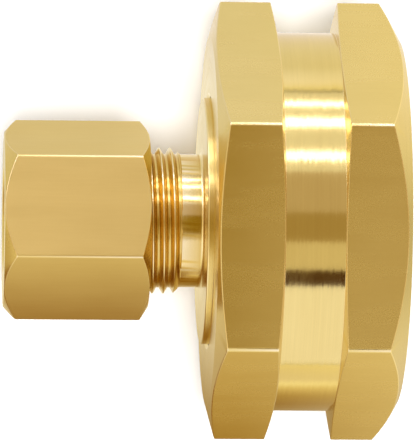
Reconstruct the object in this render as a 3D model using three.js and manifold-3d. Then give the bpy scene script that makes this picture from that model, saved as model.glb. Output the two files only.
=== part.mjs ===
// Swivel compression adapter in brass. A tailpiece takes a 3/8 in tube at one end, where a sleeve and a
// hexagonal compression nut grip it. Its flanged other end is held in a large double-hexagon swivel nut,
// which pulls a flat sealing washer onto a 1 in pipe end.
//
// Every piece is drawn about the fitting's own axis, which is the local Y axis of a lathe. Heights along it
// are measured from the swivel nut's open end, rising towards the compression nut. The outer group then
// lays the fitting down with one flat of the swivel nut on the ground.
import * as THREE from "three";
import { mergeVertices } from "three/addons/utils/BufferGeometryUtils.js";
import Module from "manifold-3d";

const wasm = await Module();
wasm.setup();

// ---- Driving dimensions, in millimetres ----
const INCH = 25.4;
const DEGREE = Math.PI / 180;

const swivel = {
  acrossFlats: 37,
  length: 18.3,
  openBand: 6.3, // hexagon at the open end
  groove: 5.7, // smooth turned band between the two hexagons
  grooveDiameter: 36.7,
  openFaceDiameter: 35.5,
  openCornerDrop: 2.0,
  backFaceDiameter: 35.8,
  backCornerDrop: 0.95,
  openBandBevel: 0.3, // how far the corners are cut back on the groove's two sides
  backBandBevel: 0.5,
  lip: 3.4, // end wall that the tailpiece hangs in
  lipHole: 24.4,
  mouthDiameter: 34.0,
  edgeBreak: 0.25,
};
const pipeThread = { pitch: INCH / 11.5, major: 33.2, minor: 30.7, crestShare: 0.12, phase: 0 };
const pipeThreadRelief = { diameter: 33.7, from: 11.3, cone: 0.6 };

const tail = {
  flangeDiameter: 29.8,
  flangeThickness: 2.6,
  collarDiameter: 23.9,
  collarProud: 0.65, // how far the collar stands out of the swivel nut
  neckDiameter: 12.9,
  neckLength: 2.1,
  noseHeight: 31.0,
  noseChamfer: 0.6,
  waterway: 7.9,
  flangeChamfer: 0.3,
  collarChamfer: 0.15,
  waterwayChamfer: 0.5,
  fillet: 0.3, // where the neck meets the collar
};
const tubeThread = { pitch: INCH / 24, major: 14.15, minor: 12.96, crestShare: 0.125, phase: 21.78 };

const tube = { diameter: 9.6, socketDepth: 7.0, seatDepth: 1.0 };
const gland = {
  acrossFlats: 17,
  length: 14.0,
  height: 24.1, // of its inner end
  turn: 13.6 * DEGREE, // its flats against the swivel nut's
  faceDiameter: 16.9,
  outerCornerDrop: 1.2,
  innerCornerDrop: 0.85,
  threadDepth: 9.5,
  threadTaper: 0.6, // over which the last thread fades out
  coneGap: 0.4, // plain stretch between the thread and the cone that bears on the sleeve
  coneDepth: 2.0,
  coneDiameter: 11.9,
  tubeHole: 9.7,
  tubeHoleChamfer: 0.4,
  mouthDiameter: 14.9,
};
const sleeve = { inner: 9.6, outer: 11.2, tip: 10.1, low: 30.45, length: 4.75, coneLow: 0.75, coneHigh: 1.0 };
const washer = { outer: 29.8, inner: 21.0, thickness: 2.0 };

const GAP = 0.2; // between pieces that rest on each other
const THREAD_CLEARANCE = 0.12; // radial, between the compression nut's thread and the tailpiece's
const FINE = 48; // facets round a large turned surface
const COARSE = 30; // facets round a small one, and round both threads
const FILLET_STEPS = 4;
const CLEAR = 1; // how far a cutting shape reaches past the surface that it cuts
const SPARE_TURNS = 2; // turns of thread beyond each end, to be trimmed off
const SAME_POINT = 1e-4;

const BRASS = 0xcda24e;
const BRASS_PALE = 0xd8b264;
const RUBBER = 0x26262a;

// ---- Solids and booleans ----
function toSolid(geometry) {
  const bare = geometry.clone();
  bare.deleteAttribute("normal");
  bare.deleteAttribute("uv");
  const merged = mergeVertices(bare, SAME_POINT);
  const source = merged.index.array;
  const triangles = [];
  for (let i = 0; i < source.length; i += 3) {
    const [a, b, c] = [source[i], source[i + 1], source[i + 2]];
    const collapsed = a === b || b === c || c === a;
    if (!collapsed) triangles.push(a, b, c);
  }
  return new wasm.Manifold(
    new wasm.Mesh({
      numProp: 3,
      vertProperties: merged.attributes.position.array,
      triVerts: new Uint32Array(triangles),
    }),
  );
}

function toGeometry(solid) {
  const mesh = solid.getMesh();
  const geometry = new THREE.BufferGeometry();
  geometry.setAttribute("position", new THREE.BufferAttribute(mesh.vertProperties, 3));
  geometry.setIndex(new THREE.BufferAttribute(mesh.triVerts, 1));
  geometry.computeVertexNormals();
  return geometry;
}

// A solid of revolution from [diameter, height] points, which start and end on the axis or in one place.
function turned(points, facets) {
  const outline = points.map(([diameter, height]) => new THREE.Vector2(diameter / 2, height));
  return toSolid(new THREE.LatheGeometry(outline, facets));
}

// A solid of revolution whose outline of [diameter, height] points closes on itself, clear of the axis.
function ring(points, facets) {
  return turned([...points, points[0]], facets);
}

function hexagonBar(acrossFlats, low, high, turn = 0) {
  const cornerRadius = acrossFlats / Math.sqrt(3);
  const bar = new THREE.CylinderGeometry(cornerRadius, cornerRadius, high - low, 6);
  bar.rotateY(Math.PI / 6 + turn);
  bar.translate(0, (low + high) / 2, 0);
  return toSolid(bar);
}

function cornerDiameter(acrossFlats) {
  return (2 * acrossFlats) / Math.sqrt(3);
}

// A right-hand screw thread standing on a solid rod. Each turn has a flat crest, a 30 degree flank, a flat
// root and another flank. The facets climb one pitch per turn, so the last column of facets joins the first
// one, one pitch higher. Both ends are ragged and are meant to be trimmed.
function threadedRod(thread, low, high, facets, grow = 0) {
  const crestRadius = thread.major / 2 + grow;
  const rootRadius = thread.minor / 2 + grow;
  const crestWidth = thread.pitch * thread.crestShare;
  const flankWidth = (crestRadius - rootRadius) * Math.tan(30 * DEGREE);
  const turnProfile = [
    [crestRadius, -crestWidth / 2],
    [crestRadius, crestWidth / 2],
    [rootRadius, crestWidth / 2 + flankWidth],
    [rootRadius, thread.pitch - crestWidth / 2 - flankWidth],
  ];
  const firstTurn = Math.floor((low - thread.phase) / thread.pitch) - SPARE_TURNS;
  const lastTurn = Math.ceil((high - thread.phase) / thread.pitch) + SPARE_TURNS;
  const rows = (lastTurn - firstTurn) * turnProfile.length;

  const positions = [];
  for (let column = 0; column < facets; column++) {
    const angle = (2 * Math.PI * column) / facets;
    for (let row = 0; row < rows; row++) {
      const [radius, offset] = turnProfile[row % turnProfile.length];
      const turnsUp = firstTurn + Math.floor(row / turnProfile.length) + column / facets;
      const height = thread.phase + turnsUp * thread.pitch + offset;
      positions.push(radius * Math.sin(angle), height, radius * Math.cos(angle));
    }
  }
  const at = (column, row) => (column === facets ? row + turnProfile.length : column * rows + row);

  const index = [];
  for (let column = 0; column < facets; column++) {
    const joined = column === facets - 1 ? rows - turnProfile.length : rows;
    for (let row = 0; row < joined - 1; row++) {
      const [a, b] = [at(column, row), at(column + 1, row)];
      const [c, d] = [at(column + 1, row + 1), at(column, row + 1)];
      index.push(a, b, c, a, c, d);
    }
  }

  // The ends: a fan from the axis to the edge loop, which steps one pitch along the first or last column.
  const lowLoop = [];
  const highLoop = [];
  for (let column = 0; column < facets; column++) {
    lowLoop.push(at(column, 0));
    highLoop.push(at(column, rows - 1));
  }
  for (let step = turnProfile.length; step > 0; step--) lowLoop.push(at(0, step));
  for (let step = 1; step <= turnProfile.length; step++) highLoop.push(at(facets - 1, rows - 1 - step));
  const addEnd = (loop, height, upwards) => {
    const centre = positions.length / 3;
    positions.push(0, height, 0);
    loop.forEach((a, i) => {
      const b = loop[(i + 1) % loop.length];
      index.push(...(upwards ? [centre, a, b] : [centre, b, a]));
    });
  };
  addEnd(lowLoop, thread.phase + firstTurn * thread.pitch, false);
  addEnd(highLoop, thread.phase + lastTurn * thread.pitch, true);

  const geometry = new THREE.BufferGeometry();
  geometry.setAttribute("position", new THREE.Float32BufferAttribute(positions, 3));
  geometry.setIndex(index);
  return toSolid(geometry);
}

// ---- The pieces ----
const flangeTop = swivel.length - swivel.lip - GAP;
const flangeBottom = flangeTop - tail.flangeThickness;
const collarTop = swivel.length + tail.collarProud;
const threadStart = collarTop + tail.neckLength;

function swivelNut() {
  const corners = cornerDiameter(swivel.acrossFlats);
  const beyond = corners + CLEAR;
  const grooveLow = swivel.openBand;
  const grooveHigh = swivel.openBand + swivel.groove;
  const bar = hexagonBar(swivel.acrossFlats, 0, swivel.length);
  const outside = turned(
    [
      [0, 0],
      [swivel.openFaceDiameter, 0],
      [corners, swivel.openCornerDrop],
      [beyond, swivel.openCornerDrop + CLEAR],
      [beyond, grooveLow - swivel.openBandBevel],
      [corners, grooveLow - swivel.openBandBevel],
      [swivel.grooveDiameter, grooveLow],
      [swivel.grooveDiameter, grooveHigh],
      [corners, grooveHigh + swivel.backBandBevel],
      [beyond, grooveHigh + swivel.backBandBevel],
      [beyond, swivel.length - swivel.backCornerDrop - CLEAR],
      [corners, swivel.length - swivel.backCornerDrop],
      [swivel.backFaceDiameter, swivel.length],
      [0, swivel.length],
    ],
    FINE,
  );
  const lipBottom = swivel.length - swivel.lip;
  const socket = turned(
    [
      [0, -CLEAR],
      [swivel.mouthDiameter + 2 * CLEAR, -CLEAR],
      [swivel.mouthDiameter, 0],
      [pipeThread.minor, (swivel.mouthDiameter - pipeThread.minor) / 2],
      [pipeThread.minor, pipeThreadRelief.from],
      [pipeThreadRelief.diameter, pipeThreadRelief.from + pipeThreadRelief.cone],
      [pipeThreadRelief.diameter, lipBottom],
      [swivel.lipHole, lipBottom],
      [swivel.lipHole, swivel.length - swivel.edgeBreak],
      [swivel.lipHole + 2 * swivel.edgeBreak, swivel.length],
      [swivel.lipHole + 2 * (swivel.edgeBreak + CLEAR), swivel.length + CLEAR],
      [0, swivel.length + CLEAR],
    ],
    FINE,
  );
  const threadTop = pipeThreadRelief.from + pipeThreadRelief.cone / 2;
  const threadSpace = turned(
    [
      [0, -CLEAR],
      [pipeThread.major + CLEAR, -CLEAR],
      [pipeThread.major + CLEAR, threadTop],
      [0, threadTop],
    ],
    COARSE,
  );
  const thread = threadedRod(pipeThread, 0, pipeThreadRelief.from, COARSE).intersect(threadSpace);
  return bar.intersect(outside).subtract(socket.add(thread));
}

function tailpiece() {
  const runOut = (tubeThread.major - tail.neckDiameter) / 2;
  const filletPoints = [];
  for (let i = 0; i <= FILLET_STEPS; i++) {
    const angle = (90 * DEGREE * i) / FILLET_STEPS;
    filletPoints.push([
      tail.neckDiameter + 2 * tail.fillet * (1 - Math.sin(angle)),
      collarTop + tail.fillet * (1 - Math.cos(angle)),
    ]);
  }
  const body = turned(
    [
      [0, flangeBottom],
      [tail.flangeDiameter - 2 * tail.flangeChamfer, flangeBottom],
      [tail.flangeDiameter, flangeBottom + tail.flangeChamfer],
      [tail.flangeDiameter, flangeTop - tail.flangeChamfer],
      [tail.flangeDiameter - 2 * tail.flangeChamfer, flangeTop],
      [tail.collarDiameter, flangeTop],
      [tail.collarDiameter, collarTop - tail.collarChamfer],
      [tail.collarDiameter - 2 * tail.collarChamfer, collarTop],
      ...filletPoints,
      [tail.neckDiameter, threadStart + CLEAR],
      [0, threadStart + CLEAR],
    ],
    FINE,
  );
  const threadOutline = turned(
    [
      [0, threadStart],
      [tail.neckDiameter, threadStart],
      [tubeThread.major, threadStart + runOut],
      [tubeThread.major + CLEAR, threadStart + runOut + CLEAR / 2],
      [tubeThread.major + CLEAR, tail.noseHeight - tail.noseChamfer - CLEAR / 2],
      [tubeThread.major, tail.noseHeight - tail.noseChamfer],
      [tubeThread.major - 2 * tail.noseChamfer, tail.noseHeight],
      [0, tail.noseHeight],
    ],
    COARSE,
  );
  const thread = threadedRod(tubeThread, threadStart, tail.noseHeight, COARSE).intersect(threadOutline);
  const socketBottom = tail.noseHeight - tube.socketDepth;
  const waterway = turned(
    [
      [0, flangeBottom - CLEAR],
      [tail.waterway + 2 * tail.waterwayChamfer, flangeBottom - CLEAR],
      [tail.waterway + 2 * tail.waterwayChamfer, flangeBottom],
      [tail.waterway, flangeBottom + tail.waterwayChamfer],
      [tail.waterway, socketBottom],
      [tube.diameter, socketBottom],
      [tube.diameter, tail.noseHeight - tube.seatDepth],
      [tube.diameter + 2 * tube.seatDepth, tail.noseHeight],
      [tube.diameter + 2 * tube.seatDepth, tail.noseHeight + CLEAR],
      [0, tail.noseHeight + CLEAR],
    ],
    COARSE,
  );
  return body.add(thread).subtract(waterway);
}

function compressionNut() {
  const low = gland.height;
  const high = gland.height + gland.length;
  const corners = cornerDiameter(gland.acrossFlats);
  const bar = hexagonBar(gland.acrossFlats, low, high, gland.turn);
  const outside = turned(
    [
      [0, low],
      [gland.faceDiameter, low],
      [corners, low + gland.innerCornerDrop],
      [corners + CLEAR, low + gland.innerCornerDrop + CLEAR],
      [corners + CLEAR, high - gland.outerCornerDrop - CLEAR],
      [corners, high - gland.outerCornerDrop],
      [gland.faceDiameter, high],
      [0, high],
    ],
    FINE,
  );
  const minor = tubeThread.minor + 2 * THREAD_CLEARANCE;
  const threadTop = low + gland.threadDepth;
  const coneBottom = threadTop + gland.coneGap;
  const socket = turned(
    [
      [0, low - CLEAR],
      [gland.mouthDiameter + 2 * CLEAR, low - CLEAR],
      [gland.mouthDiameter, low],
      [minor, low + (gland.mouthDiameter - minor) / 2],
      [minor, coneBottom],
      [gland.coneDiameter, coneBottom],
      [gland.tubeHole, coneBottom + gland.coneDepth],
      [gland.tubeHole, high - gland.tubeHoleChamfer],
      [gland.tubeHole + 2 * gland.tubeHoleChamfer, high],
      [gland.tubeHole + 2 * gland.tubeHoleChamfer, high + CLEAR],
      [0, high + CLEAR],
    ],
    COARSE,
  );
  const threadSpace = turned(
    [
      [0, low - CLEAR],
      [tubeThread.major + 2 * CLEAR, low - CLEAR],
      [tubeThread.major + 2 * CLEAR, threadTop - gland.threadTaper],
      [minor, threadTop],
      [0, threadTop],
    ],
    COARSE,
  );
  const thread = threadedRod(tubeThread, low, threadTop, COARSE, THREAD_CLEARANCE).intersect(threadSpace);
  return bar.intersect(outside).subtract(socket.add(thread));
}

function compressionSleeve() {
  const high = sleeve.low + sleeve.length;
  return ring(
    [
      [sleeve.inner, sleeve.low],
      [sleeve.tip, sleeve.low],
      [sleeve.outer, sleeve.low + sleeve.coneLow],
      [sleeve.outer, high - sleeve.coneHigh],
      [sleeve.tip, high],
      [sleeve.inner, high],
    ],
    COARSE,
  );
}

function sealingWasher() {
  const top = flangeBottom - GAP;
  const low = top - washer.thickness;
  return ring(
    [
      [washer.inner, low],
      [washer.outer, low],
      [washer.outer, top],
      [washer.inner, top],
    ],
    FINE,
  );
}

// ---- The assembly ----
function piece(name, solid, color, roughness, metalness) {
  const material = new THREE.MeshStandardMaterial({ color, roughness, metalness, flatShading: true });
  const mesh = new THREE.Mesh(toGeometry(solid), material);
  mesh.name = name;
  return mesh;
}

const fitting = new THREE.Group();
fitting.add(piece("swivel_nut", swivelNut(), BRASS_PALE, 0.25, 1));
fitting.add(piece("tailpiece", tailpiece(), BRASS, 0.2, 1));
fitting.add(piece("compression_nut", compressionNut(), BRASS, 0.3, 1));
fitting.add(piece("compression_sleeve", compressionSleeve(), BRASS_PALE, 0.25, 1));
fitting.add(piece("sealing_washer", sealingWasher(), RUBBER, 0.8, 0));

// Lay the axis along X, with the open end towards +X and the middle of the whole length at the origin.
const overallLength = gland.height + gland.length;
fitting.rotation.z = Math.PI / 2;
fitting.position.set(overallLength / 2, 0, swivel.acrossFlats / 2);

const adapter = new THREE.Group();
adapter.add(fitting);
export default adapter;
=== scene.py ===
"""Looks for the swivel compression adapter.

Each CAD node is replaced by a finer mesh of the same size, with rounded edges and true helical threads, swept
round the fitting's axis. The fitting lies on a pale table on one flat of its swivel nut, and the camera looks
almost straight down on it. What the polished brass mirrors is built separately from what lights the table.
"""
import math

import bmesh
import bpy
from mathutils import Matrix, Vector


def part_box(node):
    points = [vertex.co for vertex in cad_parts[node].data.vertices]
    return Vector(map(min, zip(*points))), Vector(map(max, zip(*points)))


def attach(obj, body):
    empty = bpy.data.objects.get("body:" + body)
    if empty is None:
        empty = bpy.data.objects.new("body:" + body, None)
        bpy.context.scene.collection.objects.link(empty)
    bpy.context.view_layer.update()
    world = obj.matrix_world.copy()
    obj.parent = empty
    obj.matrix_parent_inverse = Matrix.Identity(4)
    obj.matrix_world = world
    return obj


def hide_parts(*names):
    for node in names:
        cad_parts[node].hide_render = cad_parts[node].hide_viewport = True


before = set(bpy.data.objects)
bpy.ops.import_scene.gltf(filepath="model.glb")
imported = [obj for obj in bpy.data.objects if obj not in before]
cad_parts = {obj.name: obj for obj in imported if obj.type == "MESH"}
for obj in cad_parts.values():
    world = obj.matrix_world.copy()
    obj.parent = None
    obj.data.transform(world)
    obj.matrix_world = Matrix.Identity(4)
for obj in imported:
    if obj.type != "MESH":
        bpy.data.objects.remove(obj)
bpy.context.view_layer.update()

MM = 0.001
MICRON = 0.000001
INCH = 25.4

# ---- Places, from the frame. Heights run along the axis from the open end, in millimetres ----
NUT_LOW, NUT_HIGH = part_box("swivel_nut")
TAIL_LOW, TAIL_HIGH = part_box("tailpiece")
GLAND_LOW, GLAND_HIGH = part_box("compression_nut")
SLEEVE_LOW, SLEEVE_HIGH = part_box("compression_sleeve")
WASHER_LOW, WASHER_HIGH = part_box("sealing_washer")

OPEN_END = NUT_HIGH.x
AXIS_HEIGHT = (NUT_LOW.z + NUT_HIGH.z) / 2


def height_of(x):
    """Height along the axis, in millimetres, of a place along X."""
    return (OPEN_END - x) / MM


def place(radius, angle, height):
    """The point at that radius, angle from straight up and height along the axis."""
    return Vector((
        OPEN_END - height * MM,
        radius * math.sin(angle) * MM,
        AXIS_HEIGHT + radius * math.cos(angle) * MM,
    ))


# ---- Outlines ----
def rounded(before, corner, after, radius, steps):
    """Points of the arc that rounds one corner of an outline."""
    corner = Vector(corner)
    back, ahead = Vector(before) - corner, Vector(after) - corner
    half = back.angle(ahead) / 2
    if half > math.radians(89):
        return [tuple(corner)] * (steps + 1)
    reach = min(radius / math.tan(half), 0.45 * back.length, 0.45 * ahead.length)
    radius = reach * math.tan(half)
    back.normalize()
    ahead.normalize()
    centre = corner + (back + ahead).normalized() * (radius / math.sin(half))
    first = corner + back * reach - centre
    sweep = math.pi - 2 * half
    if back.x * ahead.y - back.y * ahead.x > 0:
        sweep = -sweep
    return [tuple(centre + Matrix.Rotation(sweep * i / steps, 2) @ first) for i in range(steps + 1)]


def outline(corners, steps=4):
    """A closed outline of (radius, height, zone, is_edge) points.

    It is made from (radius, height, rounding, zone) corners.
    A corner's zone is that of the stretch after it. A corner may be a ready-made list of points instead.
    """
    ends = [c if isinstance(c, tuple) else c[0] for c in corners]
    starts = [c if isinstance(c, tuple) else c[-1] for c in corners]
    points = []
    for i, corner in enumerate(corners):
        if isinstance(corner, list):
            points.extend(corner)
            continue
        radius, height, rounding, zone = corner
        if not rounding:
            points.append((radius, height, zone, 0.0))
            continue
        before = starts[i - 1][:2]
        after = ends[(i + 1) % len(corners)][:2]
        arc = rounded(before, (radius, height), after, rounding, steps)
        for k, (r, h) in enumerate(arc):
            points.append((r, h, zone if k == steps else "edge", math.sin(math.pi * k / steps)))
    return points


def line_at(a, b, radius):
    """Height at a radius of the straight line through two (radius, height) points."""
    return a[1] + (b[1] - a[1]) * (radius - a[0]) / (b[0] - a[0])


def radius_at(a, b, height):
    """Radius at a height of the straight line through two (radius, height) points."""
    return a[0] + (b[0] - a[0]) * (height - a[1]) / (b[1] - a[1])


# ---- Columns: the angles at which an outline stands, with the bar's radius there ----
def round_columns(count):
    return [(2 * math.pi * i / count, 0.0, 0.0) for i in range(count + 1)]


def hexagon_columns(across_flats, corner_rounding, turn=0.0, per_flat=24, per_corner=6):
    """(angle, radius, is_edge) round a hexagon bar with rounded corners.

    Columns stand closer together towards a corner, so that round stretches keep even shading past it.
    """
    apothem = across_flats / 2
    half_flat = (apothem - corner_rounding) * math.tan(math.radians(30))
    arc_centre = (apothem - corner_rounding) / math.cos(math.radians(30))
    columns = []
    for side in range(6):
        middle = turn + math.radians(60 * side)
        for i in range(per_flat + 1):
            across = half_flat * math.sin(math.pi * (i / per_flat - 0.5))
            columns.append((middle + math.atan2(across, apothem), math.hypot(across, apothem), 0.0))
        corner = middle + math.radians(30)
        for i in range(1, per_corner):
            lean = math.radians(60 * i / per_corner - 30)
            x = arc_centre + corner_rounding * math.cos(lean)
            y = corner_rounding * math.sin(lean)
            edge = math.sin(math.pi * i / per_corner)
            columns.append((corner + math.atan2(y, x), math.hypot(x, y), edge))
    columns.append((columns[0][0] + 2 * math.pi, columns[0][1], columns[0][2]))
    return columns


# ---- Screw threads ----
def thread_turn(thread, grow=0.0, flank_steps=3):
    """(radius, height) points of one turn of a 60 degree thread, from its crest's middle upwards."""
    crest_radius = thread["major"] / 2 + grow
    root_radius = thread["minor"] / 2 + grow
    crest = thread["pitch"] * thread["crest_share"]
    flank = (crest_radius - root_radius) * math.tan(math.radians(30))
    corners = [
        (root_radius, -crest / 2 - flank),
        (crest_radius, -crest / 2),
        (crest_radius, crest / 2),
        (root_radius, crest / 2 + flank),
        (root_radius, thread["pitch"] - crest / 2 - flank),
        (crest_radius, thread["pitch"] - crest / 2),
    ]
    points = []
    for k in range(1, 5):
        rounding = thread["crest_rounding"] if k < 3 else thread["root_rounding"]
        arc = rounded(corners[k - 1], corners[k], corners[k + 1], rounding, 3)
        if k in (3, 1) and points:
            tail = Vector(points[-1])
            points.extend(tuple(tail.lerp(Vector(arc[0]), i / flank_steps)) for i in range(1, flank_steps))
        points.extend(arc)
    last, first = Vector(points[-1]), Vector(points[0]) + Vector((0, thread["pitch"]))
    points.extend(tuple(last.lerp(first, i / flank_steps)) for i in range(1, flank_steps))
    return points


def thread_rows(thread, angle, low, high, limit, grow=0.0):
    """A thread's outline at one angle between two heights, as (radius, height, zone, is_edge) points.

    It climbs one pitch a turn, so the rows of the last column meet those of the first, one turn on.
    limit turns a (radius, height) into the radius that a chamfer leaves. Points past an end lie on that end.
    """
    turn = thread_turn(thread, grow)
    first = math.floor((low - thread["phase"]) / thread["pitch"]) - 3
    last = math.ceil((high - thread["phase"]) / thread["pitch"]) + 2
    middle = (thread["major"] + thread["minor"]) / 4 + grow
    rows = []
    for k in range(first, last):
        for radius, offset in turn:
            height = thread["phase"] + (k + angle / (2 * math.pi)) * thread["pitch"] + offset
            crest = 1.0 if radius > middle else 0.0
            height = min(max(height, low), high)
            rows.append((limit(radius, height), height, "thread", crest))
    return rows


# ---- Sweeping an outline round the axis ----
SLIGHT_EDGE = 0.01  # is_edge below this is a rounding's end, not its middle


def swept(name, columns, section, zone_materials):
    """A closed mesh object: section(angle, bar_radius) gives the outline at each column."""
    mesh = bpy.data.meshes.new(name)
    work = bmesh.new()
    edge_layer = work.verts.layers.float.new("edge")
    zones = {zone: i for i, zone in enumerate(zone_materials)}
    previous = None
    for angle, bar_radius, corner in columns:
        points = section(angle, bar_radius)
        column = []
        for radius, height, zone, edge in points:
            vertex = work.verts.new(place(radius, angle, height))
            on_bar = zone == "flat" or edge > SLIGHT_EDGE
            vertex[edge_layer] = max(edge, corner if on_bar else 0.0)
            column.append((vertex, zone))
        if previous:
            for i in range(len(column)):
                k = (i + 1) % len(column)
                corners = (previous[i][0], column[i][0], column[k][0], previous[k][0])
                face = work.faces.new(corners)
                face.material_index = zones[column[i][1]]
                face.smooth = True
        previous = column
    bmesh.ops.remove_doubles(work, verts=work.verts, dist=3e-7)
    bmesh.ops.dissolve_degenerate(work, edges=work.edges, dist=1e-7)
    bmesh.ops.recalc_face_normals(work, faces=work.faces)
    work.to_mesh(mesh)
    work.free()
    for material in zone_materials.values():
        mesh.materials.append(material)
    piece = bpy.data.objects.new(name, mesh)
    bpy.context.scene.collection.objects.link(piece)
    shading = piece.modifiers.new("even_flats", "WEIGHTED_NORMAL")
    shading.mode = "FACE_AREA"
    shading.weight = 50
    return piece


# ---- Materials ----
class Graph:
    """A short way to lay out one material's nodes."""

    def __init__(self, name):
        self.material = bpy.data.materials.new(name)
        self.material.use_nodes = True
        self.nodes = self.material.node_tree.nodes
        self.links = self.material.node_tree.links
        self.shader = self.nodes["Principled BSDF"]

    def put(self, socket, value):
        if isinstance(value, bpy.types.NodeSocket):
            self.links.new(value, socket)
        else:
            socket.default_value = value

    def math(self, operation, a, b=0.0, clamp=False):
        node = self.nodes.new("ShaderNodeMath")
        node.operation = operation
        node.use_clamp = clamp
        self.put(node.inputs[0], a)
        self.put(node.inputs[1], b)
        return node.outputs[0]

    def join(self, x, y, z):
        node = self.nodes.new("ShaderNodeCombineXYZ")
        for socket, value in zip(node.inputs, (x, y, z)):
            self.put(socket, value)
        return node.outputs[0]

    def noise(self, vector, scale=1.0, detail=2.0, roughness=0.5):
        node = self.nodes.new("ShaderNodeTexNoise")
        self.put(node.inputs["Vector"], vector)
        node.inputs["Scale"].default_value = scale
        node.inputs["Detail"].default_value = detail
        node.inputs["Roughness"].default_value = roughness
        return node.outputs["Fac"]

    def stretch(self, value, low, high, to_low, to_high):
        node = self.nodes.new("ShaderNodeMapRange")
        self.put(node.inputs["Value"], value)
        node.inputs["From Min"].default_value = low
        node.inputs["From Max"].default_value = high
        node.inputs["To Min"].default_value = to_low
        node.inputs["To Max"].default_value = to_high
        return node.outputs[0]

    def mix(self, factor, a, b):
        node = self.nodes.new("ShaderNodeMix")
        node.data_type = "RGBA"
        self.put(node.inputs[0], factor)
        self.put(node.inputs[6], a)
        self.put(node.inputs[7], b)
        return node.outputs[2]

    def ramp(self, factor, stops):
        node = self.nodes.new("ShaderNodeValToRGB")
        self.put(node.inputs[0], factor)
        elements = node.color_ramp.elements
        while len(elements) < len(stops):
            elements.new(0.5)
        for element, (position, color) in zip(elements, stops):
            element.position = position
            element.color = color
        return node.outputs[0]

    def bump(self, height, distance, strength=1.0, after=None):
        node = self.nodes.new("ShaderNodeBump")
        node.inputs["Strength"].default_value = strength
        node.inputs["Distance"].default_value = distance
        self.put(node.inputs["Height"], height)
        if after:
            self.links.new(after, node.inputs["Normal"])
        return node.outputs[0]

    def vector(self, operation, a, b=None, scale=None):
        node = self.nodes.new("ShaderNodeVectorMath")
        node.operation = operation
        self.put(node.inputs[0], a)
        if b is not None:
            self.put(node.inputs[1], b)
        if scale is not None:
            self.put(node.inputs["Scale"], scale)
        return node.outputs[0]

    def leaning_normal(self, direction, amount):
        """The surface's normal, leant by an amount in radians towards a direction given on the object."""
        turn = self.nodes.new("ShaderNodeVectorTransform")
        turn.vector_type, turn.convert_from, turn.convert_to = "VECTOR", "OBJECT", "WORLD"
        self.links.new(direction, turn.inputs[0])
        lean = self.vector("SCALE", turn.outputs[0], scale=amount)
        normal = self.nodes.new("ShaderNodeNewGeometry").outputs["Normal"]
        return self.vector("NORMALIZE", self.vector("ADD", normal, lean))

    def coordinates(self):
        """The place in the object's own coordinates, in metres: the x, y and z sockets."""
        coordinates = self.nodes.new("ShaderNodeTexCoord")
        split = self.nodes.new("ShaderNodeSeparateXYZ")
        self.links.new(coordinates.outputs["Object"], split.inputs[0])
        return split.outputs

    def position(self):
        """The place on the fitting, in metres: x, y, and z from the fitting's axis."""
        x, y, z = self.coordinates()
        return x, y, self.math("SUBTRACT", z, AXIS_HEIGHT)

    def attribute(self, name):
        node = self.nodes.new("ShaderNodeAttribute")
        node.attribute_name = name
        return node.outputs["Fac"]


BRASS = {"deep": (0.69, 0.51, 0.14, 1), "body": (0.78, 0.60, 0.185, 1)}
BRASS_RICH = {"deep": (0.61, 0.41, 0.09, 1), "body": (0.71, 0.50, 0.13, 1)}
# BRASS_BRIGHT is the paler brass of the rounded edges: partly wear, partly a painted highlight.
BRASS_BRIGHT = (0.90, 0.76, 0.40, 1)


# Cells of noise to the metre, so that 1000 gives marks about 1 mm long. FINE is across the bar, LONG along.
TURNED_CELLS = 9000.0
DRAWN_FINE, DRAWN_LONG = 5200.0, 220.0
PATCH_FINE, PATCH_LONG = 420.0, 90.0
CLOUD_CELLS, GRIT_CELLS = 130.0, 6500.0
MOTTLE_CELLS, GRAIN_CELLS = 420.0, 5200.0
# The same for broad lines and streaks, as a share of TURNED_CELLS.
BROAD_SHARE, STREAK_SHARE = 0.12, 0.9
# Cells of noise to the radius of a circle round the axis.
ROUND_CELLS, STREAK_ROUND_CELLS = 1.5, 7.0
# How far streaks lean the normal round the axis, in radians.
STREAK_LEAN = 0.008
# Nearly all of a noise lies between these.
NOISE_LOW, NOISE_HIGH = 0.3, 0.7


def turned_marks(g, x, y, z):
    """Fine lines, broad lines and a slightly leaning normal, as a lathe leaves them round the axis."""
    radius = g.math("SQRT", g.math("ADD", g.math("MULTIPLY", y, y), g.math("MULTIPLY", z, z)))
    along = g.math("MULTIPLY", g.math("ADD", x, radius), TURNED_CELLS)
    out_y, out_z = g.math("DIVIDE", y, radius), g.math("DIVIDE", z, radius)
    around_y, around_z = g.math("MULTIPLY", out_y, ROUND_CELLS), g.math("MULTIPLY", out_z, ROUND_CELLS)
    lines = g.noise(g.join(along, around_y, around_z), 1.0, 2.0, 0.6)
    broad = g.noise(g.join(g.math("MULTIPLY", along, BROAD_SHARE), around_y, around_z), 1.0, 2.0, 0.5)
    streaks = g.noise(g.join(
        g.math("MULTIPLY", along, STREAK_SHARE),
        g.math("MULTIPLY", out_y, STREAK_ROUND_CELLS),
        g.math("MULTIPLY", out_z, STREAK_ROUND_CELLS),
    ), 1.0, 2.0, 0.5)
    round_axis = g.join(0.0, out_z, g.math("MULTIPLY", out_y, -1.0))
    lean = g.stretch(streaks, NOISE_LOW, NOISE_HIGH, -STREAK_LEAN, STREAK_LEAN)
    return lines, broad, g.leaning_normal(round_axis, lean)


def drawn_marks(g, x, y, z):
    """Fine and broad lines along the axis, as drawing leaves them on the bar's flats."""
    def stretched(along, across):
        return g.join(*(g.math("MULTIPLY", c, cells) for c, cells in ((x, along), (y, across), (z, across))))

    lines = g.noise(stretched(DRAWN_LONG, DRAWN_FINE), 1.0, 3.0, 0.6)
    broad = g.noise(stretched(PATCH_LONG, PATCH_FINE), 1.0, 3.0, 0.5)
    return lines, broad, None


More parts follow.
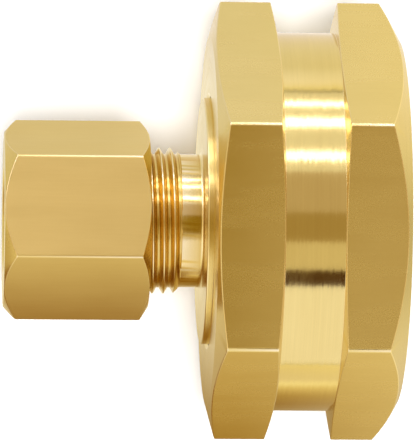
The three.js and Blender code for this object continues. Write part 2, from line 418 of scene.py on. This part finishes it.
def brass(name, alloy, roughness, marks, mark_depth, line_tone):
    """Machined brass. Its turned_marks or drawn_marks bump it by mark_depth and tint it by line_tone."""
    g = Graph(name)
    x, y, z = g.position()
    lines, broad, normal = marks(g, x, y, z)
    place_on = g.join(x, y, z)
    cloud = g.noise(place_on, CLOUD_CELLS, 4.0, 0.55)
    grit = g.noise(place_on, GRIT_CELLS, 2.0, 0.6)
    edge = g.attribute("edge")

    tone = g.math("ADD", g.stretch(cloud, NOISE_LOW, NOISE_HIGH, 0.55, 0.85),
                  g.stretch(lines, NOISE_LOW, NOISE_HIGH, -line_tone, line_tone))
    body = g.mix(tone, alloy["deep"], alloy["body"])
    # Paler on the rounded edges: partly wear, partly a painted highlight.
    wear_and_highlight = g.math("MULTIPLY", edge, g.stretch(cloud, NOISE_LOW, NOISE_HIGH, 0.45, 0.9), clamp=True)
    g.put(g.shader.inputs["Base Color"], g.mix(wear_and_highlight, body, BRASS_BRIGHT))
    g.shader.inputs["Metallic"].default_value = 1.0
    rough = g.math("ADD", g.stretch(broad, 0.25, 0.75, roughness * 0.9, roughness * 1.12),
                   g.stretch(grit, NOISE_LOW, NOISE_HIGH, -0.010, 0.012))
    g.put(g.shader.inputs["Roughness"], rough)
    coarse = g.bump(broad, mark_depth, 0.3, normal)
    g.put(g.shader.inputs["Normal"], g.bump(lines, mark_depth, 1.0, coarse))
    return g.material


def rubber(name):
    g = Graph(name)
    x, y, z = g.position()
    place_on = g.join(x, y, z)
    mottle = g.noise(place_on, MOTTLE_CELLS, 4.0, 0.6)
    grain = g.noise(place_on, GRAIN_CELLS, 3.0, 0.6)
    dark, pale = (0.012, 0.012, 0.013, 1), (0.035, 0.034, 0.034, 1)
    tone = g.mix(g.stretch(mottle, NOISE_LOW, NOISE_HIGH, 0.0, 1.0), dark, pale)
    # Paler on the rounded edges.
    paler_edges = g.math("MULTIPLY", g.attribute("edge"), 0.4)
    g.put(g.shader.inputs["Base Color"], g.mix(paler_edges, tone, (0.085, 0.082, 0.08, 1)))
    g.put(g.shader.inputs["Roughness"], g.stretch(mottle, NOISE_LOW, NOISE_HIGH, 0.5, 0.72))
    g.put(g.shader.inputs["Normal"], g.bump(grain, 20 * MICRON, 0.8))
    return g.material


drawn_brass = brass("drawn_brass", BRASS, 0.26, drawn_marks, 0.8 * MICRON, 0.10)
satin_brass = brass("satin_brass", BRASS, 0.37, drawn_marks, 1.0 * MICRON, 0.10)
turned_brass = brass("turned_brass", BRASS, 0.12, turned_marks, 1.0 * MICRON, 0.17)
faced_brass = brass("faced_brass", BRASS, 0.24, turned_marks, 1.6 * MICRON, 0.17)
rich_brass = brass("rich_brass", BRASS_RICH, 0.14, turned_marks, 1.0 * MICRON, 0.17)
cut_brass = brass("cut_brass", BRASS_RICH, 0.19, turned_marks, 1.0 * MICRON, 0.17)
black_rubber = rubber("black_rubber")


def finishes(flat=drawn_brass, turned=turned_brass):
    return {"flat": flat, "turned": turned, "face": faced_brass, "thread": cut_brass, "edge": faced_brass}


# ---- Sizes that the frame's boxes don't give, in millimetres ----
PIPE_THREAD = {"pitch": INCH / 11.5, "major": 33.2, "minor": 30.7, "crest_share": 0.12, "phase": 0.0,
               "crest_rounding": 0.06, "root_rounding": 0.12}
TUBE_THREAD = {"pitch": INCH / 24, "major": 14.15, "minor": 12.96, "crest_share": 0.125, "phase": 21.78,
               "crest_rounding": 0.05, "root_rounding": 0.07}
THREAD_CLEARANCE = 0.12
NUT_FLATS = (NUT_HIGH.z - NUT_LOW.z) / MM
NUT_LENGTH = height_of(NUT_LOW.x)


def swivel_nut():
    corner, corner_rounding = NUT_FLATS / math.sqrt(3), 0.45
    open_face, open_chamfer = 35.5 / 2, 2.0
    back_face, back_chamfer = 35.8 / 2, 0.95
    groove, groove_low, groove_high = 36.7 / 2, 6.3, 12.0
    low_wall_lean, high_wall_lean = 0.3, 0.5
    lip_low, hole, edge_break = NUT_LENGTH - 3.4, 24.4 / 2, 0.25
    mouth, relief, relief_low = 34.0 / 2, 33.7 / 2, 11.3
    relief_high = relief_low + 0.6
    minor = PIPE_THREAD["minor"] / 2

    def limit(radius, height):
        mouth_cone = mouth - height
        relief_cone = 0.0
        if height > relief_low:
            relief_cone = radius_at((minor, relief_low), (relief, relief_high), height)
        return max(radius, mouth_cone, relief_cone)

    def section(angle, bar):
        return outline([
            (open_face, 0, 0.05, "face"),
            (bar, line_at((open_face, 0), (corner, open_chamfer), bar), 0.14, "flat"),
            (bar, line_at((groove, groove_low), (corner, groove_low - low_wall_lean), bar), 0.10, "face"),
            (groove, groove_low, 0.04, "turned"),
            (groove, groove_high, 0.04, "face"),
            (bar, line_at((groove, groove_high), (corner, groove_high + high_wall_lean), bar), 0.10, "flat"),
            (bar, line_at((back_face, NUT_LENGTH), (corner, NUT_LENGTH - back_chamfer), bar), 0.14, "face"),
            (back_face, NUT_LENGTH, 0.05, "face"),
            (hole + edge_break, NUT_LENGTH, 0.04, "turned"),
            (hole, NUT_LENGTH - edge_break, 0.04, "turned"),
            (hole, lip_low, 0.08, "face"),
            (relief, lip_low, 0.25, "turned"),
            list(reversed(thread_rows(PIPE_THREAD, angle, 0.0, relief_high, limit))),
        ])

    return swept("swivel_nut_body", hexagon_columns(NUT_FLATS, corner_rounding), section, finishes())


def tailpiece():
    flange = (TAIL_HIGH.z - TAIL_LOW.z) / MM / 2
    flange_low, nose = height_of(TAIL_HIGH.x), height_of(TAIL_LOW.x)
    flange_top = flange_low + 2.6
    collar, collar_top = 23.9 / 2, NUT_LENGTH + 0.65
    neck, thread_low = 12.9 / 2, collar_top + 2.1
    bore, bore_chamfer = 7.9 / 2, 0.5
    socket, socket_low, seat = 9.6 / 2, nose - 7.0, 1.0
    crest, nose_chamfer = TUBE_THREAD["major"] / 2, 0.6

    def limit(radius, height):
        run_out = neck + (height - thread_low)
        nose_cone = crest - nose_chamfer + (nose - height)
        return min(radius, run_out, nose_cone)

    def section(angle, bar):
        return outline([
            (bore + bore_chamfer, flange_low, 0.04, "face"),
            (flange, flange_low, 0.3, "turned"),
            (flange, flange_top, 0.3, "face"),
            (collar, flange_top, 0.1, "face"),
            (collar, collar_top, 0.16, "face"),
            (neck, collar_top, 0.3, "turned"),
            thread_rows(TUBE_THREAD, angle, thread_low, nose, limit),
            (socket + seat, nose, 0.06, "turned"),
            (socket, nose - seat, 0.06, "turned"),
            (socket, socket_low, 0.1, "face"),
            (bore, socket_low, 0.06, "turned"),
            (bore, flange_low + bore_chamfer, 0.06, "turned"),
        ])

    return swept("tailpiece_body", round_columns(144), section, finishes(turned=rich_brass))


def compression_nut():
    flats, turn, corner_rounding = 17.0, math.radians(13.6), 0.3
    low, high = height_of(GLAND_HIGH.x), height_of(GLAND_LOW.x)
    corner, face = flats / math.sqrt(3), 16.9 / 2
    low_chamfer, high_chamfer = 0.85, 1.2
    minor = TUBE_THREAD["minor"] / 2 + THREAD_CLEARANCE
    mouth, thread_top, run_out = 14.9 / 2, low + 9.5, 0.6
    cone, cone_low, cone_high = 11.9 / 2, low + 9.9, low + 11.9
    hole, hole_chamfer = 9.7 / 2, 0.4

    def limit(radius, height):
        if height > thread_top - run_out:
            radius = min(radius, minor + thread_top - height)
        return max(radius, mouth - (height - low), minor)

    def section(angle, bar):
        return outline([
            (mouth, low, 0.0, "face"),
            (face, low, 0.05, "face"),
            (bar, line_at((face, low), (corner, low + low_chamfer), bar), 0.12, "flat"),
            (bar, line_at((face, high), (corner, high - high_chamfer), bar), 0.12, "face"),
            (face, high, 0.06, "face"),
            (hole + hole_chamfer, high, 0.06, "turned"),
            (hole, high - hole_chamfer, 0.06, "turned"),
            (hole, cone_high, 0.06, "turned"),
            (cone, cone_low, 0.1, "turned"),
            (minor, cone_low, 0.1, "turned"),
            list(reversed(thread_rows(TUBE_THREAD, angle, low, thread_top, limit, THREAD_CLEARANCE))),
        ])

    columns = hexagon_columns(flats, corner_rounding, turn)
    return swept("compression_nut_body", columns, section, finishes(flat=satin_brass))


def compression_sleeve():
    low, high = height_of(SLEEVE_HIGH.x), height_of(SLEEVE_LOW.x)
    inner, outer, tip = 9.6 / 2, 11.2 / 2, 10.1 / 2
    low_taper, high_taper = 0.75, 1.0

    def section(angle, bar):
        return outline([
            (inner, low, 0.06, "face"),
            (tip, low, 0.08, "turned"),
            (outer, low + low_taper, 0.4, "turned"),
            (outer, high - high_taper, 0.4, "turned"),
            (tip, high, 0.08, "face"),
            (inner, high, 0.06, "turned"),
        ])

    return swept("compression_sleeve_body", round_columns(96), section, finishes())


def sealing_washer():
    low, high = height_of(WASHER_HIGH.x), height_of(WASHER_LOW.x)
    outer = (WASHER_HIGH.z - WASHER_LOW.z) / MM / 2
    inner = 21.0 / 2

    def section(angle, bar):
        return outline([
            (inner, low, 0.18, "rubber"),
            (outer, low, 0.22, "rubber"),
            (outer, high, 0.22, "rubber"),
            (inner, high, 0.18, "rubber"),
        ])

    materials = {"rubber": black_rubber, "edge": black_rubber}
    return swept("sealing_washer_body", round_columns(120), section, materials)


for make, node in (
    (swivel_nut, "swivel_nut"),
    (tailpiece, "tailpiece"),
    (compression_nut, "compression_nut"),
    (compression_sleeve, "compression_sleeve"),
    (sealing_washer, "sealing_washer"),
):
    piece = make()
    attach(piece, node)
    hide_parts(node)


# ---- Table, lights and camera ----
TARGET = Vector((0.0, 0.0, AXIS_HEIGHT))


def flat_sheet(name, length, width, material):
    """A flat rectangle in its own XY plane, round its own origin."""
    x, y = length / 2, width / 2
    mesh = bpy.data.meshes.new(name)
    mesh.from_pydata([(-x, -y, 0), (x, -y, 0), (x, y, 0), (-x, y, 0)], [], [(0, 1, 2, 3)])
    mesh.materials.append(material)
    return bpy.data.objects.new(name, mesh)


def table_top():
    size, gap = 6.0, 0.03 * MM
    g = Graph("pale_table")
    g.shader.inputs["Base Color"].default_value = (0.93, 0.93, 0.93, 1)
    g.shader.inputs["Roughness"].default_value = 0.9
    g.shader.inputs["Specular IOR Level"].default_value = 0.1
    table = flat_sheet("table", size, size, g.material)
    table.location.z = -gap
    bpy.context.scene.collection.objects.link(table)


def hang(thing, towards, along, distance):
    """Hang a panel that far from the fitting, in that direction and facing it, with its length that way."""
    thing.location = TARGET + towards * distance
    thing.rotation_mode = "QUATERNION"
    thing.rotation_quaternion = Matrix((along, towards.cross(along), towards)).transposed().to_quaternion()
    thing.visible_camera = False
    bpy.context.scene.collection.objects.link(thing)


def leaning(lean):
    """The direction that leans from straight up towards +Y by that many degrees."""
    return Vector((0, math.sin(math.radians(lean)), math.cos(math.radians(lean))))


def width_between(low, high, distance):
    """How wide a panel at that distance is when it spans the leans from low to high, in degrees."""
    return 2 * distance * math.tan(math.radians((high - low) / 2))


def area_light(name, length, width, radiance, mirrored):
    """A soft light. The brass mirrors some of them, and the table and the rubber are lit by the others."""
    data = bpy.data.lights.new(name, "AREA")
    data.shape = "RECTANGLE"
    data.size, data.size_y = length, width
    data.energy = math.pi * data.size * data.size_y
    data.color = radiance
    light = bpy.data.objects.new(name, data)
    light.visible_glossy = mirrored
    light.visible_diffuse = not mirrored
    return light


def light_panel(name, low, high, radiance, distance=0.5, length=1.6, mirrored=True):
    """A long soft light along the fitting, between two leans in degrees."""
    light = area_light(name, length, width_between(low, high, distance), radiance, mirrored)
    hang(light, leaning((low + high) / 2), Vector((1, 0, 0)), distance)


def end_panel(name, side, radiance, distance=0.5, size=0.9):
    """A soft light beyond one end of the fitting, which its chamfers and end faces mirror."""
    rise = math.radians(25)
    towards = Vector((side * math.cos(rise), 0, math.sin(rise)))
    hang(area_light(name, size, size, radiance, True), towards, Vector((0, 1, 0)), distance)


def mirrored_card(name, width, length, colour):
    """A flat glowing card that only the brass mirrors: it is no lamp, and its glow is a painted reflection.
    colour(graph) gives the glow.
    """
    g = Graph(name)
    g.nodes.remove(g.shader)
    glow = g.nodes.new("ShaderNodeEmission")
    g.put(glow.inputs["Color"], colour(g))
    g.links.new(glow.outputs[0], g.nodes["Material Output"].inputs["Surface"])
    card = flat_sheet(name, length, width, g.material)
    card.visible_camera = False
    card.visible_diffuse = False
    card.visible_shadow = False
    return card


def small_card(name, low, high, left, right, glow, distance=0.08):
    """A small glowing card close above the fitting, a painted reflection, between two leans in degrees and
    two places along X.
    """
    card = mirrored_card(name, width_between(low, high, distance), right - left, lambda g: glow)
    hang(card, leaning((low + high) / 2), Vector((1, 0, 0)), distance)
    card.location.x += (left + right) / 2


# The ground card's painted reflection along Y, with painted shade in its brown stops: (share of the way from
# GROUND_LOW to GROUND_HIGH, colour).
GROUND_LOW, GROUND_HIGH = -0.11, 0.21
GROUND_TINTS = (
    (0.000, (0.90, 0.84, 0.92, 1)),
    (0.069, (1.20, 1.18, 1.12, 1)),
    (0.119, (0.84, 0.70, 0.42, 1)),
    (0.181, (0.46, 0.30, 0.08, 1)),
    (0.231, (0.34, 0.19, 0.03, 1)),
    (0.281, (0.42, 0.28, 0.09, 1)),
    (0.316, (1.00, 0.92, 0.70, 1)),
    (0.381, (1.12, 1.10, 1.02, 1)),
    (0.419, (0.88, 0.82, 0.86, 1)),
    (0.475, (0.88, 0.87, 0.96, 1)),
    (0.594, (0.84, 0.84, 1.00, 1)),
    (0.703, (0.97, 1.00, 1.42, 1)),
    (0.970, (1.14, 1.20, 2.00, 1)),
)
GROUND_PALE = (1.05, 0.98, 0.82, 1)
# How bright the card still is in its two dimmer places, where it paints shade.
BESIDE_NUT, BEYOND_END = 0.84, 0.66


def painted_ground_reflection():
    """A glowing card under the fitting, tinted as a table would look in the brass: a painted reflection, with
    painted shade in brown on its -Y side.

    It is paler ahead of and behind the swivel nut, dimmer beside the compression nut as a painted shadow of
    it, and dimmer past the end as painted shade.
    """
    size, lift = 1.6, 0.3 * MM

    def colour(g):
        x, y = g.coordinates()[:2]
        shade = g.ramp(g.stretch(y, GROUND_LOW, GROUND_HIGH, 0.0, 1.0), GROUND_TINTS)
        ahead = g.stretch(x, 6 * MM, 46 * MM, 0.0, 1.0)
        behind = g.stretch(x, -10 * MM, 0.0, 0.35, 0.0)
        shade = g.mix(g.math("ADD", ahead, behind), shade, GROUND_PALE)
        # Painted shadow of the compression nut beside it, and painted shade past the end.
        by_nut = g.math("MAXIMUM", g.stretch(x, -8 * MM, -2 * MM, BESIDE_NUT, 1.0),
                        g.stretch(y, -5 * MM, 5 * MM, 1.0, BESIDE_NUT))
        off_middle = g.math("ABSOLUTE", g.math("ADD", y, 6 * MM))
        beyond = g.math("MAXIMUM", g.stretch(x, 35 * MM, 60 * MM, 1.0, BEYOND_END),
                        g.stretch(off_middle, 6 * MM, 26 * MM, BEYOND_END, 1.08))
        return g.vector("SCALE", shade, scale=g.math("MULTIPLY", by_nut, beyond))

    card = mirrored_card("painted_ground_reflection", size, size, colour)
    card.location.z = lift
    bpy.context.scene.collection.objects.link(card)


def painted_side_reflection():
    """A low upright glowing card on the -Y side of the compression nut and neck, which only the brass
    mirrors: a painted reflection, brown below as painted shade and pale above.
    """
    height, length, away, gap = 34 * MM, 60 * MM, 27 * MM, 0.8 * MM

    def colour(g):
        y = g.coordinates()[1]
        rise = g.stretch(y, 2 * MM, 12 * MM, 0.0, 1.0)
        return g.mix(rise, (0.31, 0.14, 0.0, 1), (1.22, 1.14, 1.02, 1))

    card = mirrored_card("painted_side_reflection", height, length, colour)
    card.rotation_euler = (math.pi / 2, 0, 0)
    card.location = (NUT_LOW.x - gap - length / 2, -away, height / 2)
    bpy.context.scene.collection.objects.link(card)


def world_light(strength):
    world = bpy.data.worlds.new("studio")
    world.use_nodes = True
    background = world.node_tree.nodes["Background"]
    background.inputs["Color"].default_value = (1.0, 0.98, 0.95, 1)
    background.inputs["Strength"].default_value = strength
    bpy.context.scene.world = world


def camera():
    """Nearly overhead, leaning a little towards the compression nut and towards +Y, with a slight roll."""
    along, across, roll = math.radians(3.4), math.radians(4.6), math.radians(0.5)
    distance, view_height, aim = 0.50, 42.9 * MM, 18.25 * MM
    back = Vector((
        -math.sin(along),
        math.cos(along) * math.sin(across),
        math.cos(along) * math.cos(across),
    ))
    right = (Vector((1, 0, 0)) - back * back.x).normalized()
    right = Matrix.Rotation(roll, 3, back) @ right
    up = back.cross(right)
    data = bpy.data.cameras.new("camera")
    data.sensor_width = 36.0
    data.lens = data.sensor_width * distance / view_height
    data.clip_start, data.clip_end = 0.01, 20.0
    eye = bpy.data.objects.new("camera", data)
    eye.rotation_mode = "QUATERNION"
    eye.rotation_quaternion = Matrix((right, up, back)).transposed().to_quaternion()
    eye.location = Vector((OPEN_END - aim, 0, AXIS_HEIGHT)) + back * distance
    bpy.context.scene.collection.objects.link(eye)
    bpy.context.scene.camera = eye


# What the turned brass mirrors: (name, lean where it starts, lean where it ends, radiance).
PANELS = (
    ("strip_low", 78, 81.5, (4.0, 4.0, 7.0)),
    ("strip_middle", 63.5, 69.5, (3.8, 3.8, 6.5)),
    ("strip_high", 41, 46.5, (3.4, 3.4, 6.0)),
    ("overhead_pale", 10, 34, (0.48, 0.37, 0.33)),
    ("overhead_warm", -7, 10, (0.30, 0.18, 0.03)),
    ("overhead_mid", -28, -7, (0.66, 0.58, 0.52)),
    ("softbox", -90, -28, (0.98, 1.00, 1.44)),
)
# What lights the table and the rubber: (name, half its spread in degrees, radiance, distance, length).
DIFFUSE_LIGHTS = (
    ("table_light", 27, (2.2, 2.2, 2.2), 0.9, 0.9),
    ("key_light", 8, (44.0, 44.0, 44.0), 1.2, 0.34),
)

table_top()
world_light(0.18)
for panel, low_lean, high_lean, glow in PANELS:
    light_panel(panel, low_lean, high_lean, glow)
light_panel("wall", 34, 89, (0.84, 0.84, 1.10), distance=0.6)
end_panel("left_end", -1, (0.42, 0.32, 0.20))
end_panel("right_end", 1, (0.27, 0.16, 0.03))
# A painted dark band in the brass's reflections, standing in for shade.
small_card("painted_dark_reflection", -29.7, -21.0, 8 * MM, 30 * MM, (0.08, 0.03, 0.0, 1))
# A painted dim brown reflection over the neck and collar.
small_card("painted_brown_reflection", -17, 14, -5 * MM, 9 * MM, (0.36, 0.235, 0.02, 1))
painted_ground_reflection()
painted_side_reflection()
for panel, spread, glow, away, length in DIFFUSE_LIGHTS:
    light_panel(panel, -spread, spread, glow, distance=away, length=length, mirrored=False)
camera()
bpy.context.scene.view_settings.view_transform = "Standard"
